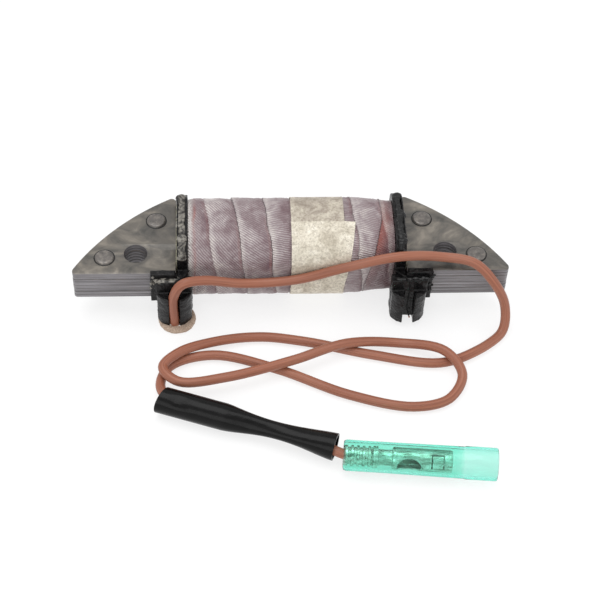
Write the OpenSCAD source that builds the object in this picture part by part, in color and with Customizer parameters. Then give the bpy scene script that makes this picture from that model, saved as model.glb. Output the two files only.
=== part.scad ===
// Ignition coil for the stator plate of a small engine: a laminated steel core with
// two pole shoes, a split bobbin with its winding, and a lead that ends in a sleeved
// bullet connector. Millimetres; +Z up, X along the core, the lead side is -Y.

/* [Part] */
// which sub-part to draw

/* [Core] */
// overall length of the core across both pole shoes
core_length = 98; // [80:1:120]
// width of one pole shoe
shoe_width = 23; // [18:0.5:30]
// radius of the curved pole faces
pole_radius = 56.5; // [50:0.5:65]
// height of the underside of the core above the table
core_bottom = 6; // [5:0.5:9]
// spacing of the laminations
lamination_pitch = 1; // [0.5:0.05:1.5]
// thickness of one lamination
lamination_thick = 0.94; // [0.4:0.02:1.5]
// spacing of the two bolt holes
bolt_spacing = 70; // [60:0.5:80]
// diameter of a bolt hole
bolt_hole_d = 5.3; // [4.3:0.1:6.5]
// diameter of a rivet shank
rivet_d = 3.2; // [2.5:0.1:4]
// diameter of a rivet head
rivet_head_d = 4.4; // [3.6:0.1:5.5]

/* [Bobbin and winding] */
// outer distance across the two bobbin flanges
bobbin_length = 51.4; // [40:0.2:60]
// thickness of a bobbin flange
flange_thick = 2.4; // [1.5:0.1:3.5]
// wall of the bobbin tube
bobbin_wall = 1.1; // [0.8:0.1:1.6]
// width across the finished winding
winding_width = 19.6; // [16:0.1:21]
// thickness of the cloth wrap
wrap_thick = 1; // [0.5:0.05:1.5]
// width of the tape band
tape_width = 11.9; // [8:0.1:16]

/* [Lead and connector] */
// diameter of the insulated lead
lead_d = 2.2; // [1.8:0.1:3]
// outer diameter of the connector sleeve
sleeve_d = 6.7; // [5.5:0.1:8]
// length of the connector sleeve
sleeve_length = 32.7; // [26:0.1:40]
// bore of the bullet socket
socket_bore_d = 4; // [3.5:0.1:4.5]
// depth of the bullet socket
socket_depth = 12; // [8:0.5:14]

/* [Hidden] */
$fn = 48;
core_front = -8.2;
core_top = core_bottom + 7 * lamination_pitch + lamination_thick;
pole_centre = -35;
shoe_out = core_length / 2;
shoe_in = shoe_out - shoe_width;
neck_front = -1.3;
neck_back = 7.7;
bolt_y = -2.3;
coil_y = 3.2;
coil_z = 10;
tube_half_y = 4.65;
tube_half_z = 4.15;
flange_out = bobbin_length / 2;
flange_in = flange_out - flange_thick;
flange_half_y = 9.7;
flange_half_z = 9.9;
wind_len = 2 * flange_in - 0.2;
wrap_half = winding_width / 2;
copper_half = wrap_half - wrap_thick - 0.15;
post_x = 26.45;
post_low = 1.2;
post_high = 10;
block_top = 13;
post_y = -12.1;
conn_at = [9.5, -50.5, 3.5];
conn_turn = -5.5;
conn_dir = [cos(conn_turn), sin(conn_turn), 0];
// centre height of the lead on the table, and where it lies over itself
lay = lead_d / 2;
over = lay + lead_d + 0.2;
rivet_near = [30.5, 7.5];
rivet_far = [42, -3.5];

// route of the lead: up the post, across the winding and the core, down to the table,
// back and forth in three runs, through the black sleeve and into the crimp
ROUTE = [
  [-26.5, post_y, post_low], [-26.5, post_y, 10.5], [-24.5, -12, 14.5], [-20, -10.5, 14],
  [-11, -8.5, 10.5], [1, -8, 11], [12, -8, 15], [24, -7.5, 18],
  [34, -6, 16], [41, -8, 16], [45.5, -11, 12.5], [48.5, -12.5, 6],
  [48, -16, 1.5], [42, -21, lay], [33, -24.5, lay], [18, -22, lay],
  [3, -18, lay], [-8, -16.5, lay], [-18, -18.5, 2], [-25.5, -22.5, over],
  [-29, -26.5, over], [-25.5, -30.5, over], [-15, -29.5, over], [0, -25, over],
  [12, -20.5, over], [24, -19, 1.5], [34, -23, over], [37.5, -28.5, 2],
  [34, -34.5, lay], [26, -36.5, lay], [12, -33, lay], [-4, -25.5, lay],
  [-18, -21.5, lay], [-27.5, -24.5, lay], [-29.5, -30.5, 1.5], [-26, -35.5, 2.5],
  [-5.5, -43.5, 3], [6, -48.5, 3.5], conn_at + conn_dir, conn_at + 6 * conn_dir
];

// route of the fine finish wire, from the winding to the solder joint
FINISH_ROUTE = [
  [-23, -6.9, 13.2], [-23.8, -8.2, 13.6], [-25.2, -9.6, 13.6],
  [-26.2, -10.86, 13.6], [-26.4, -10.86, 12], [-26.4, -10.86, 1.2]
];

// route of the fine start wire, from the winding down the right-hand post
START_ROUTE = [
  [23, -6.9, 13.2], [23.8, -8.2, 13.6], [25.2, -9.6, 13.6],
  [26.2, -10.86, 13.6], [26.5, -10.86, 12], [26.5, -10.86, 3], [27.1, -11.4, 1.4]
];

// ---- helpers ----

function knot(a, b) = sqrt(norm(b - a));

function between(a, b, ta, tb, t) = a + (b - a) * (t - ta) / (tb - ta);

// one point of a smooth curve through the points p, part way t along span i
function curve_at(p, i, t) =
  let (
    b = p[i],
    c = p[i + 1],
    a = i > 0 ? p[i - 1] : 2 * b - c,
    d = i + 2 < len(p) ? p[i + 2] : 2 * c - b,
    k1 = knot(a, b),
    k2 = k1 + knot(b, c),
    k3 = k2 + knot(c, d),
    k = k1 + (k2 - k1) * t,
    ab = between(a, b, 0, k1, k),
    bc = between(b, c, k1, k2, k),
    cd = between(c, d, k2, k3, k)
  )
  between(between(ab, bc, 0, k2, k), between(bc, cd, k1, k3, k), k1, k2, k);

// a point kept at the height lay or above it
function on_table(q) = [q[0], q[1], max(q[2], lay)];

// the curve as a list of points, n to a span
function smooth(p, n) = concat(
  [for (i = [0 : len(p) - 2]) for (j = [0 : n - 1]) on_table(curve_at(p, i, j / n))],
  [p[len(p) - 1]]
);

function unit(v) = v / norm(v);

// direction of a path at its point i
function heading(p, i) = unit(p[min(i + 1, len(p) - 1)] - p[max(i - 1, 0)]);

// side direction carried along the path without twist
function carried(p, i, side) =
  i == 0 ? side : let (
    s = carried(p, i - 1, side),
    h = heading(p, i)
  ) unit(s - (s * h) * h);

// tube of radius r along the path p
module tube(p, r, sides, side) {
  n = len(p);
  s0 = unit(side - (side * heading(p, 0)) * heading(p, 0));
  pts = [
    for (i = [0 : n - 1])
      let (
        h = heading(p, i),
        s = carried(p, i, s0),
        u = cross(h, s)
      )
      for (k = [0 : sides - 1])
        p[i] + r * (cos(360 * k / sides) * s + sin(360 * k / sides) * u)
  ];
  walls = [
    for (i = [0 : n - 2]) for (k = [0 : sides - 1])
      let (
        k2 = (k + 1) % sides
      )
      [i * sides + k, (i + 1) * sides + k, (i + 1) * sides + k2, i * sides + k2]
  ];
  first = [for (k = [0 : sides - 1]) k];
  last = [for (k = [0 : sides - 1]) (n - 1) * sides + sides - 1 - k];
  polyhedron(points = pts, faces = concat([first], walls, [last]), convexity = 8);
}

// rectangle with rounded corners, centred on the winding axis
module round_box(half_a, half_b, r) {
  difference() {
    square([2 * half_a, 2 * half_b], center = true);
    for (sa = [-1, 1]) {
      for (sb = [-1, 1]) {
        difference() {
          translate([sa * half_a, sb * half_b])
            square(2 * r, center = true);
          translate([sa * (half_a - r), sb * (half_b - r)])
            circle(r);
          translate([sa * (half_a - 1.5 * r), sb * (half_b - r / 2)])
            square([r, r * 1.2], center = true);
          translate([sa * (half_a - r / 2), sb * (half_b - 1.5 * r)])
            square([r * 1.2, r], center = true);
        }
      }
    }
  }
}

// a sheet standing across the winding axis: drawn in Y and Z, thickness along X
module across(x, thick) {
  translate([x, coil_y, coil_z])
    rotate([90, 0, 90])
      linear_extrude(thick)
        children();
}

// the same thing on the left and on the right
module both_ends() {
  children();
  mirror([1, 0, 0])
    children();
}

// axis system of the connector, Z along it from the lead to the mouth
module on_connector() {
  translate(conn_at)
    rotate([0, 0, conn_turn])
      rotate([0, 90, 0])
        children();
}

// ---- core ----

module shoe_outline() {
  ring = pole_radius - 1;
  ring_y = pole_centre + sqrt(ring * ring - (shoe_in + 1) * (shoe_in + 1));
  difference() {
    intersection() {
      translate([shoe_in, core_front])
        square([shoe_width, 24]);
      translate([0, pole_centre])
        circle(pole_radius, $fn = 180);
    }
    difference() {
      polygon([
        [shoe_in - 0.1, ring_y],
        [shoe_in + 1, ring_y],
        [shoe_in + 1.6, ring_y + 1.1],
        [shoe_in + 1.6, ring_y + 2.4],
        [shoe_in - 0.1, ring_y + 2.4]
      ]);
      translate([shoe_in + 1, ring_y])
        circle(1);
    }
    translate([bolt_spacing / 2, bolt_y])
      circle(bolt_hole_d / 2);
  }
}

module core_outline(hole_r) {
  difference() {
    union() {
      shoe_outline();
      mirror([1, 0])
        shoe_outline();
      translate([-shoe_in - 1, neck_front])
        square([2 * shoe_in + 2, neck_back - neck_front]);
    }
    for (side = [-1, 1]) {
      for (p = [rivet_near, rivet_far]) {
        translate([side * p[0], p[1]])
          circle(hole_r);
      }
    }
  }
}

module lamination(i) {
  hole_r = i == 1 ? rivet_d / 2 + 0.5 : rivet_d / 2 + 0.05;
  color([0.42, 0.43, 0.4])
    translate([0, 0, core_bottom + (i - 1) * lamination_pitch])
      linear_extrude(lamination_thick)
        core_outline(hole_r);
}

module core_rivets() {
  color([0.52, 0.5, 0.47])
    for (side = [-1, 1]) {
      for (p = [rivet_near, rivet_far]) {
        translate([side * p[0], p[1], core_bottom]) {
          cylinder(h = lamination_thick, r = rivet_d / 2 + 0.45);
          cylinder(h = core_top - core_bottom, r = rivet_d / 2);
          translate([0, 0, core_top - core_bottom])
            cylinder(h = 0.5, r = rivet_head_d / 2);
        }
      }
    }
}

// ---- bobbin ----

module tube_hole() {
  square([2 * tube_half_y, 2 * tube_half_z], center = true);
}

// half plane used to split the bobbin
module half_plane(front) {
  translate([front ? -20 : 0, -20])
    square([20, 40]);
}

module bobbin_core(front) {
  across(-flange_out, bobbin_length)
    intersection() {
      difference() {
        square([2 * (tube_half_y + bobbin_wall), 2 * (tube_half_z + bobbin_wall)], center = true);
        tube_hole();
      }
      half_plane(front);
    }
  both_ends()
    difference() {
      across(flange_in, flange_thick)
        intersection() {
          difference() {
            round_box(flange_half_y, flange_half_z, 5);
            tube_hole();
          }
          half_plane(front);
        }
      translate([flange_in + 0.6, -5, coil_z + flange_half_z - 0.9])
        cube([1.5, 16, 2]);
    }
}

module terminal_post() {
  // web from the flange to the block
  translate([flange_in, -8.3, 2.4])
    cube([flange_thick, 1.9, block_top - 2.4]);
  // block across the front
  translate([22.4, -10.6, post_high])
    cube([8.1, 2.4, block_top - post_high]);
  translate([24.6, -10.6, block_top])
    cube([5.9, 0.4, 0.3]);
  translate([22.4, -9.2, 2.4])
    cube([1.2, 1, 8]);
  // post with an open channel
  translate([post_x, -8.73, post_low])
    linear_extrude(post_high - post_low)
      difference() {
        intersection() {
          circle(4.47);
          translate([-3.85, -5])
            square([7.7, 5.53]);
        }
        translate([-1.2, -6])
          square([2.4, 4.03]);
      }
  // plate against the front of the core, with a lip over its top
  difference() {
    translate([flange_out, -9.2, 5.6])
      cube([6, 1, core_top - 5.6]);
    translate([flange_out - 1, -8.2, 5.5])
      cube([0.9, 2, 12]);
  }
  translate([flange_out + 0.4, -9.2, core_top])
    cube([5.6, 1.5, 0.5]);
}

module bobbin_front() {
  color([0.06, 0.06, 0.07]) {
    bobbin_core(true);
    both_ends()
      terminal_post();
  }
}

module bobbin_rear() {
  color([0.06, 0.06, 0.07])
    bobbin_core(false);
}

module insulating_paper() {
  color([0.78, 0.74, 0.64])
    across(flange_out, shoe_in - flange_out)
      difference() {
        square([18.6, 11], center = true);
        tube_hole();
      }
}

module paper_right() {
  insulating_paper();
}

module paper_left() {
  mirror([1, 0, 0])
    insulating_paper();
}

// ---- winding ----

module coil_ring(out_half, in_half, x, width) {
  across(x, width)
    difference() {
      round_box(out_half, out_half, out_half - 3);
      round_box(in_half, in_half, in_half - 3);
    }
}

module copper_winding() {
  color([0.72, 0.4, 0.22])
    across(-wind_len / 2, wind_len)
      difference() {
        round_box(copper_half, copper_half, copper_half - 3);
        square([2 * (tube_half_y + bobbin_wall), 2 * (tube_half_z + bobbin_wall)], center = true);
      }
}

module layer_insulation() {
  color([0.85, 0.8, 0.66])
    coil_ring(wrap_half - wrap_thick, wrap_half - wrap_thick - 0.15, -wind_len / 2, wind_len);
}

module cloth_wrap() {
  color([0.56, 0.5, 0.55])
    coil_ring(wrap_half, wrap_half - wrap_thick, -wind_len / 2, wind_len);
}

module tape_band() {
  color([0.84, 0.82, 0.7])
    coil_ring(wrap_half + 0.1, wrap_half, 0, tape_width);
}

// ---- fine wires, solder and potting ----

module fine_wire(route) {
  color([0.75, 0.42, 0.22])
    tube(route, 0.14, 8, [1, 0, 0]);
}

module start_wire() {
  fine_wire(START_ROUTE);
}

module finish_wire() {
  fine_wire(FINISH_ROUTE);
}

module potting_disc() {
  color([0.68, 0.62, 0.55])
    translate([-26, -10.3, 0])
      difference() {
        cylinder(h = post_low, r = 4.3);
        translate([-0.5, -1.8, 0.4])
          cylinder(h = 1, r = 1.2);
      }
}

module solder_joint() {
  color([0.75, 0.76, 0.78])
    translate([-26.5, post_y, 0.4])
      difference() {
        cylinder(h = 0.7, r = 1.15);
        translate([0, 0, 0.1])
          cylinder(h = 1, r = 0.65);
      }
}

module resin_fill() {
  color([0.1, 0.1, 0.11]) {
    // in the groove of the flange
    translate([flange_in + 0.65, -1.4, coil_z + flange_half_z - 0.9])
      cube([1.4, 9, 0.85]);
    // on the ledge behind the block
    translate([24.8, -10.1, block_top])
      cube([0.8, 3.4, 0.4]);
    translate([26, -10.1, block_top])
      cube([4.2, 0.8, 0.5]);
  }
}

module resin_right() {
  resin_fill();
}

module resin_left() {
  mirror([1, 0, 0])
    resin_fill();
}

// ---- lead and connector ----

module lead() {
  color([0.62, 0.38, 0.28])
    tube(smooth(ROUTE, 2), lead_d / 2, 8, [1, 0, 0]);
}

module lead_conductor() {
  color([0.8, 0.5, 0.3]) {
    translate([-26.5, post_y, 0.5])
      cylinder(h = 0.7, r = 0.6);
    on_connector()
      translate([0, 0, 6.1])
        cylinder(h = 4.2, r = 0.6);
  }
}

// loose black sleeve, drawn tight over the lead at its waist
module lead_sleeve() {
  sides = 24;
  stations = 14;
  a = [-29.1, -35.1, 3.1];
  b = [8, -48.2, 3.1];
  dir = unit(b - a);
  side = unit(cross([0, 0, 1], dir));
  up = [0, 0, 1];
  function radius(t) = 3.02 - 1.1 * pow(max(0, 1 - pow((t - 0.64) / 0.36, 2)), 1.5);
  function ring(t, r) = [
    for (k = [0 : sides - 1])
      let (
        cy = cos(360 * k / sides),
        sz = sin(360 * k / sides),
        skew = t < 0.01 ? 0.8 * cy : 0
      )
      a + (b - a) * t + dir * skew + r * (cy * side + sz * up)
  ];
  outer = [for (i = [0 : stations]) each ring(i / stations, radius(i / stations))];
  inner = [for (i = [0 : stations]) each ring(i / stations, radius(i / stations) - 0.4)];
  m = (stations + 1) * sides;
  function wall(o, flip) = [
    for (i = [0 : stations - 1]) for (k = [0 : sides - 1])
      let (
        k2 = (k + 1) % sides,
        p = o + i * sides,
        q = o + (i + 1) * sides
      )
      flip ? [p + k, p + k2, q + k2, q + k] : [p + k, q + k, q + k2, p + k2]
  ];
  rims = [
    for (k = [0 : sides - 1])
      let (
        k2 = (k + 1) % sides
      )
      each [
        [k, k2, m + k2, m + k],
        [m + stations * sides + k, m + stations * sides + k2,
          stations * sides + k2, stations * sides + k]
      ]
  ];
  color([0.03, 0.03, 0.04])
    polyhedron(
      points = concat(outer, inner),
      faces = concat(wall(0, false), wall(m, true), rims),
      convexity = 6
    );
}

module bullet_terminal() {
  bore_r = socket_bore_d / 2;
  barrel_end = 23.1;
  color([0.8, 0.74, 0.56])
    on_connector()
      difference() {
        union() {
          translate([0, 0, 0.3])
            cylinder(h = 5.8, r = 1.9);
          for (i = [0 : 4]) {
            translate([0, 0, 0.4 + 1.2 * i])
              cylinder(h = 0.6, r = 2.25);
          }
          translate([0, 0, 6.1])
            cylinder(h = 1.3, r = 2.35);
          translate([0, 0, 7.4])
            cylinder(h = 2.95, r = 1.8);
          translate([0, 0, 10.35])
            cylinder(h = barrel_end - 10.35, r = 2.4);
        }
        // seat of the insulation, then of the bare strands
        translate([0, 0, -0.1])
          cylinder(h = 6.2, r = lead_d / 2 + 0.05);
        translate([0, 0, 6])
          cylinder(h = 4.3, r = 0.65);
        // socket for the mating bullet
        translate([0, 0, barrel_end - socket_depth])
          cylinder(h = socket_depth + 1, r = bore_r);
        // seam of the rolled barrel
        translate([0.15, -0.1, barrel_end - socket_depth])
          cube([3, 0.2, socket_depth + 1]);
        // open throat, where the sheet is not yet rolled shut
        rotate([0, 0, 270])
          translate([5.2, 0, 14])
            rotate([90, 0, 0])
              cylinder(h = 6, r = 4.1, center = true);
        // slot around three sides of the locking tongue
        rotate([0, 0, 45]) {
          translate([-3, -1.5, 18.6])
            cube([1.7, 3.05, 0.3]);
          translate([-3, -1.5, 21.1])
            cube([1.7, 3.05, 0.3]);
          translate([-3, 1.25, 18.6])
            cube([1.7, 0.3, 2.8]);
        }
      }
}

module connector_sleeve() {
  r = sleeve_d / 2;
  step = 25.7;
  color([0.1, 0.75, 0.6])
    on_connector()
      rotate_extrude()
        polygon([
          [2.75, 0], [3, 0], [r, 0.6], [r, step], [r + 0.15, step + 0.3],
          [r + 0.15, sleeve_length], [2.85, sleeve_length], [2.85, step],
          [2.75, step - 0.2]
        ]);
}

lamination(1);  // lamination_1
lamination(2);  // lamination_2
lamination(3);  // lamination_3
lamination(4);  // lamination_4
lamination(5);  // lamination_5
lamination(6);  // lamination_6
lamination(7);  // lamination_7
lamination(8);  // lamination_8
core_rivets();
bobbin_front();
bobbin_rear();
paper_left();
paper_right();
copper_winding();
layer_insulation();
cloth_wrap();
tape_band();
start_wire();
finish_wire();
solder_joint();
potting_disc();
resin_left();
resin_right();
lead();
lead_conductor();
lead_sleeve();
bullet_terminal();
connector_sleeve();
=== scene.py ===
"""Looks of a stator ignition coil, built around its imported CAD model. Metres, +Z up."""

import math
import random

import bmesh
import bpy
from mathutils import Matrix, Vector, noise


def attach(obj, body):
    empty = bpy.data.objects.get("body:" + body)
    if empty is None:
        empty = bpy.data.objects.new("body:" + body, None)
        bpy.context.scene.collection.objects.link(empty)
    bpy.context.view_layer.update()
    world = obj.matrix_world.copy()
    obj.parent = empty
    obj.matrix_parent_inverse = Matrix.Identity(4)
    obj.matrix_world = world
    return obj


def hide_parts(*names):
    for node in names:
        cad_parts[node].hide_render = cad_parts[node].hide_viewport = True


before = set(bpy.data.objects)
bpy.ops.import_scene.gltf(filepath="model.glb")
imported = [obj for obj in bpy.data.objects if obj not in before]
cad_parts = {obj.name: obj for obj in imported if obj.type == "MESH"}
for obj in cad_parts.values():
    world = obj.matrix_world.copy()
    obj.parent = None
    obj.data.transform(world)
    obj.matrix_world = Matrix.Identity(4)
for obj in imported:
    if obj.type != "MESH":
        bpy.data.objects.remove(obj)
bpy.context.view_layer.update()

MM = 0.001
COIL, COVER = "coil", "connector_cover"
UP = Vector((0, 0, 1))

# ---------------------------------------------------------------- dimensions, mm
CORE_FRONT, NECK_FRONT, NECK_BACK = -8.2, -1.3, 7.7
SHOE_IN, SHOE_OUT = 26.0, 49.0
POLE_R, POLE_Y = 56.5, -35.0
BOLT_AT, BOLT_R = (35.0, -2.3), 2.65
RIVETS = [(side * x, y) for side in (1, -1) for x, y in ((30.5, 7.5), (42.0, -3.5))]
COIL_Y, COIL_Z = 3.2, 10.0
WRAP_HALF, WRAP_FLAT = 9.8, 3.0
CONN_AT, CONN_TURN = Vector((9.5, -50.5, 3.5)), -5.5
CONN_DIR = Vector((math.cos(math.radians(CONN_TURN)), math.sin(math.radians(CONN_TURN)), 0))
POST_LOW, POST_Y = 1.2, -12.1
LEAD_R = 1.1

# centre height of the lead on the table, and where it lies over itself
LAY = LEAD_R
OVER = LAY + 2 * LEAD_R + 0.2

# route of the lead, the same points as in part.scad
ROUTE = [
    (-26.5, POST_Y, POST_LOW), (-26.5, POST_Y, 10.5), (-24.5, -12, 14.5), (-20, -10.5, 14),
    (-11, -8.5, 10.5), (1, -8, 11), (12, -8, 15), (24, -7.5, 18),
    (34, -6, 16), (41, -8, 16), (45.5, -11, 12.5), (48.5, -12.5, 6),
    (48, -16, 1.5), (42, -21, LAY), (33, -24.5, LAY), (18, -22, LAY),
    (3, -18, LAY), (-8, -16.5, LAY), (-18, -18.5, 2), (-25.5, -22.5, OVER),
    (-29, -26.5, OVER), (-25.5, -30.5, OVER), (-15, -29.5, OVER), (0, -25, OVER),
    (12, -20.5, OVER), (24, -19, 1.5), (34, -23, OVER), (37.5, -28.5, 2),
    (34, -34.5, LAY), (26, -36.5, LAY), (12, -33, LAY), (-4, -25.5, LAY),
    (-18, -21.5, LAY), (-27.5, -24.5, LAY), (-29.5, -30.5, 1.5), (-26, -35.5, 2.5),
    (-5.5, -43.5, 3), (6, -48.5, 3.5), CONN_AT + CONN_DIR, CONN_AT + 6 * CONN_DIR,
]


# ---------------------------------------------------------------- number helpers
def hump(x, at, width):
    """Smooth hump, 1 at its middle and near 0 beyond two widths."""
    return math.exp(-(((x - at) / width) ** 2))


def clamp(value):
    return max(0.0, min(1.0, value))


def noise_at(x, y, z):
    return noise.noise(Vector((x, y, z)))


# ---------------------------------------------------------------- mesh helpers
def placed(name, data):
    """Makes an object from its data and links it to the scene."""
    obj = bpy.data.objects.new(name, data)
    bpy.context.scene.collection.objects.link(obj)
    return obj


def clean(obj, merge=0.0):
    """Merges vertices closer than merge, in metres, and turns the faces outward."""
    bm = bmesh.new()
    bm.from_mesh(obj.data)
    if merge:
        bmesh.ops.remove_doubles(bm, verts=bm.verts, dist=merge)
    bmesh.ops.recalc_face_normals(bm, faces=bm.faces)
    bm.to_mesh(obj.data)
    bm.free()


def mesh_object(name, verts, faces, uvs=None):
    mesh = bpy.data.meshes.new(name)
    mesh.from_pydata([Vector(v) * MM for v in verts], [], faces)
    mesh.update()
    if uvs is not None:
        layer = mesh.uv_layers.new(name="around")
        for loop in mesh.loops:
            layer.data[loop.index].uv = uvs[loop.vertex_index]
    return placed(name, mesh)


def baked(obj):
    """Applies the object's modifiers; a curve becomes a mesh object of the same name."""
    depsgraph = bpy.context.evaluated_depsgraph_get()
    mesh = bpy.data.meshes.new_from_object(obj.evaluated_get(depsgraph))
    if obj.type != "MESH":
        name = obj.name
        fresh = placed(name + "_mesh", mesh)
        bpy.data.objects.remove(obj)
        fresh.name = name
        return fresh
    obj.modifiers.clear()
    obj.data = mesh
    return obj


def soften(obj, angle=35):
    obj.data.shade_smooth()
    obj.data.set_sharp_from_angle(angle=math.radians(angle))


def settle(obj, body, slot, nodes, *materials, angle=35):
    """Gives a finished piece its body and materials and hides the CAD nodes it stands for; slot is not
    used.
    """
    obj.data.materials.clear()
    for m in materials:
        obj.data.materials.append(m)
    if angle:
        soften(obj, angle)
    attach(obj, body)
    if nodes:
        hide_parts(*nodes)
    return obj


def rough(obj, amount, size, seed=0.0, also=0.0):
    """Moves vertices along their normals by smooth noise; also adds a finer noise.

    amount, size and also are in mm.
    """
    mesh = obj.data
    normals = [v.normal.copy() for v in mesh.vertices]
    for v, n in zip(mesh.vertices, normals):
        p = v.co / (size * MM) + Vector((seed, seed * 1.7, -seed))
        h = noise.noise(p) * amount
        if also:
            h += noise.noise(p * 3.1) * also
        v.co += n * h * MM
    mesh.update()


def voxel(obj, size, smooth=2):
    """Remeshes the object at a grid of size mm, then smooths it."""
    m = obj.modifiers.new("voxel", "REMESH")
    m.mode = "VOXEL"
    m.voxel_size = size * MM
    m.use_smooth_shade = True
    if smooth:
        s = obj.modifiers.new("smooth", "SMOOTH")
        s.iterations = smooth
        s.factor = 0.5
    return baked(obj)


def cad_copy(name, node):
    """Copy of a CAD node's mesh with doubles merged and flat faces made whole."""
    obj = placed(name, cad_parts[node].data.copy())
    bm = bmesh.new()
    bm.from_mesh(obj.data)
    bmesh.ops.remove_doubles(bm, verts=bm.verts, dist=1e-6)
    bmesh.ops.dissolve_limit(
        bm, angle_limit=math.radians(1), verts=bm.verts, edges=bm.edges
    )
    bm.to_mesh(obj.data)
    bm.free()
    return obj


def join(name, parts):
    bm = bmesh.new()
    for p in parts:
        m = p.data.copy()
        m.transform(p.matrix_world)
        bm.from_mesh(m)
        bpy.data.objects.remove(p)
    mesh = bpy.data.meshes.new(name)
    bm.to_mesh(mesh)
    bm.free()
    return placed(name, mesh)


def ring_faces(rows, cols, closed=True):
    """Quads between rows of points; closed joins the last column to the first."""
    faces = []
    for i in range(rows - 1):
        for k in range(cols if closed else cols - 1):
            k2 = (k + 1) % cols
            a, b = i * cols, (i + 1) * cols
            faces.append((a + k, a + k2, b + k2, b + k))
    return faces


def plate(name, loops, thick, bevel, place):
    """Flat plate with round edges from outlines in mm; place maps it into the frame."""
    curve = bpy.data.curves.new(name, "CURVE")
    curve.dimensions = "2D"
    curve.fill_mode = "BOTH"
    curve.extrude = (thick / 2 - bevel) * MM
    curve.bevel_depth = bevel * MM
    curve.bevel_resolution = 1
    curve.offset = -bevel * MM
    for loop in loops:
        spline = curve.splines.new("POLY")
        spline.points.add(len(loop) - 1)
        for p, (x, y) in zip(spline.points, loop):
            p.co = (x * MM, y * MM, 0, 1)
        spline.use_cyclic_u = True
    obj = placed(name, curve)
    obj = baked(obj)
    obj.data.transform(place)
    clean(obj, 2e-6)
    return obj


def circle(cx, cy, r, n=48):
    return [
        (cx + r * math.cos(2 * math.pi * k / n), cy + r * math.sin(2 * math.pi * k / n))
        for k in range(n)
    ]


def rounded(points, radii, steps=6):
    """Polygon with each corner rounded by its own radius."""
    out = []
    n = len(points)
    for i, (p, r) in enumerate(zip(points, radii)):
        if r <= 0:
            out.append(p)
            continue
        p = Vector(p)
        a = (Vector(points[i - 1]) - p).normalized()
        b = (Vector(points[(i + 1) % n]) - p).normalized()
        half = a.angle(b) / 2
        reach = r / math.tan(half)
        centre = p + (a + b).normalized() * (r / math.sin(half))
        t1, t2 = p + a * reach - centre, p + b * reach - centre
        for k in range(steps + 1):
            t = k / steps
            d = (t1 * (1 - t) + t2 * t).normalized() * r
            out.append(tuple(centre + d))
    return out


def curve_through(points, steps):
    """Smooth centripetal curve through the points, with so many steps to a span."""
    pts = [Vector(p) for p in points]

    def between(a, b, ta, tb, t):
        return a + (b - a) * ((t - ta) / (tb - ta))

    out = []
    for i in range(len(pts) - 1):
        b, c = pts[i], pts[i + 1]
        a = pts[i - 1] if i else 2 * b - c
        d = pts[i + 2] if i + 2 < len(pts) else 2 * c - b
        k1 = math.sqrt((b - a).length)
        k2 = k1 + math.sqrt((c - b).length)
        k3 = k2 + math.sqrt((d - c).length)
        for j in range(steps):
            k = k1 + (k2 - k1) * j / steps
            ab = between(a, b, 0, k1, k)
            bc = between(b, c, k1, k2, k)
            cd = between(c, d, k2, k3, k)
            out.append(between(between(ab, bc, 0, k2, k), between(bc, cd, k1, k3, k), k1, k2, k))
    out.append(pts[-1])
    return out


def tube(name, path, radius, sides=20, caps=True):
    """Round tube along a path in mm, radius a number or a function of the share 0..1."""
    path = [Vector(p) for p in path]
    n = len(path)
    verts, uvs = [], []
    side, run = None, 0.0
    for i, p in enumerate(path):
        h = (path[min(i + 1, n - 1)] - path[max(i - 1, 0)]).normalized()
        if side is None:
            side = h.orthogonal().normalized()
        side = (side - side.dot(h) * h).normalized()
        other = h.cross(side)
        if i:
            run += (p - path[i - 1]).length
        r = radius(i / (n - 1)) if callable(radius) else radius
        for k in range(sides):
            a = 2 * math.pi * k / sides
            verts.append(p + r * (math.cos(a) * side + math.sin(a) * other))
            uvs.append((k / sides, run))
    faces = ring_faces(n, sides)
    if caps:
        faces.append(tuple(range(sides - 1, -1, -1)))
        faces.append(tuple((n - 1) * sides + k for k in range(sides)))
    return mesh_object(name, verts, faces, uvs)


def lathe(name, profile, place, sides=64, shape=None):
    """Solid turned about Z from (radius, height) points, mapped by place.

    shape, where given, changes the radius by height and angle. A profile that starts
    off the axis is closed into a ring.
    """
    verts, uvs = [], []
    for j, (r, z) in enumerate(profile):
        for k in range(sides):
            a = 2 * math.pi * k / sides
            rr = r if shape is None else shape(r, z, a)
            verts.append((rr * math.cos(a), rr * math.sin(a), z))
            uvs.append((k / sides, z))
    faces = []
    m = len(profile)
    closed = profile[0][0] > 1e-6
    for j in range(m if closed else m - 1):
        for k in range(sides):
            k2 = (k + 1) % sides
            a, b = j * sides, ((j + 1) % m) * sides
            faces.append((a + k, a + k2, b + k2, b + k))
    obj = mesh_object(name, verts, faces, uvs)
    obj.data.transform(place)
    clean(obj, 1e-7)
    return obj


def blobs(name, lumps, size=0.12, smooth=2, seed=1.0, wobble=0.08):
    """Melted-together lumps: each is (centre, half sizes) in mm."""
    bm = bmesh.new()
    for centre, half in lumps:
        m = (
            Matrix.Translation(Vector(centre) * MM)
            @ Matrix.Diagonal((*[h * MM for h in half], 1))
        )
        bmesh.ops.create_icosphere(bm, subdivisions=3, radius=1, matrix=m)
    mesh = bpy.data.meshes.new(name)
    bm.to_mesh(mesh)
    bm.free()
    obj = placed(name, mesh)
    obj = voxel(obj, size, smooth)
    rough(obj, wobble, 0.8, seed)
    return obj


def shift(x, y, z):
    return Matrix.Translation(Vector((x, y, z)) * MM)


CONN = (
    shift(*CONN_AT)
    @ Matrix.Rotation(math.radians(CONN_TURN), 4, "Z")
    @ Matrix.Rotation(math.radians(90), 4, "Y")
)


# ---------------------------------------------------------------- camera
LOOK_AT, CAMERA_DISTANCE = Vector((0.5, -11.5, 10)), 367
CAMERA_UP, CAMERA_TURN, CAMERA_ROLL = (math.radians(a) for a in (50.3, -4.6, 2.9))


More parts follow.
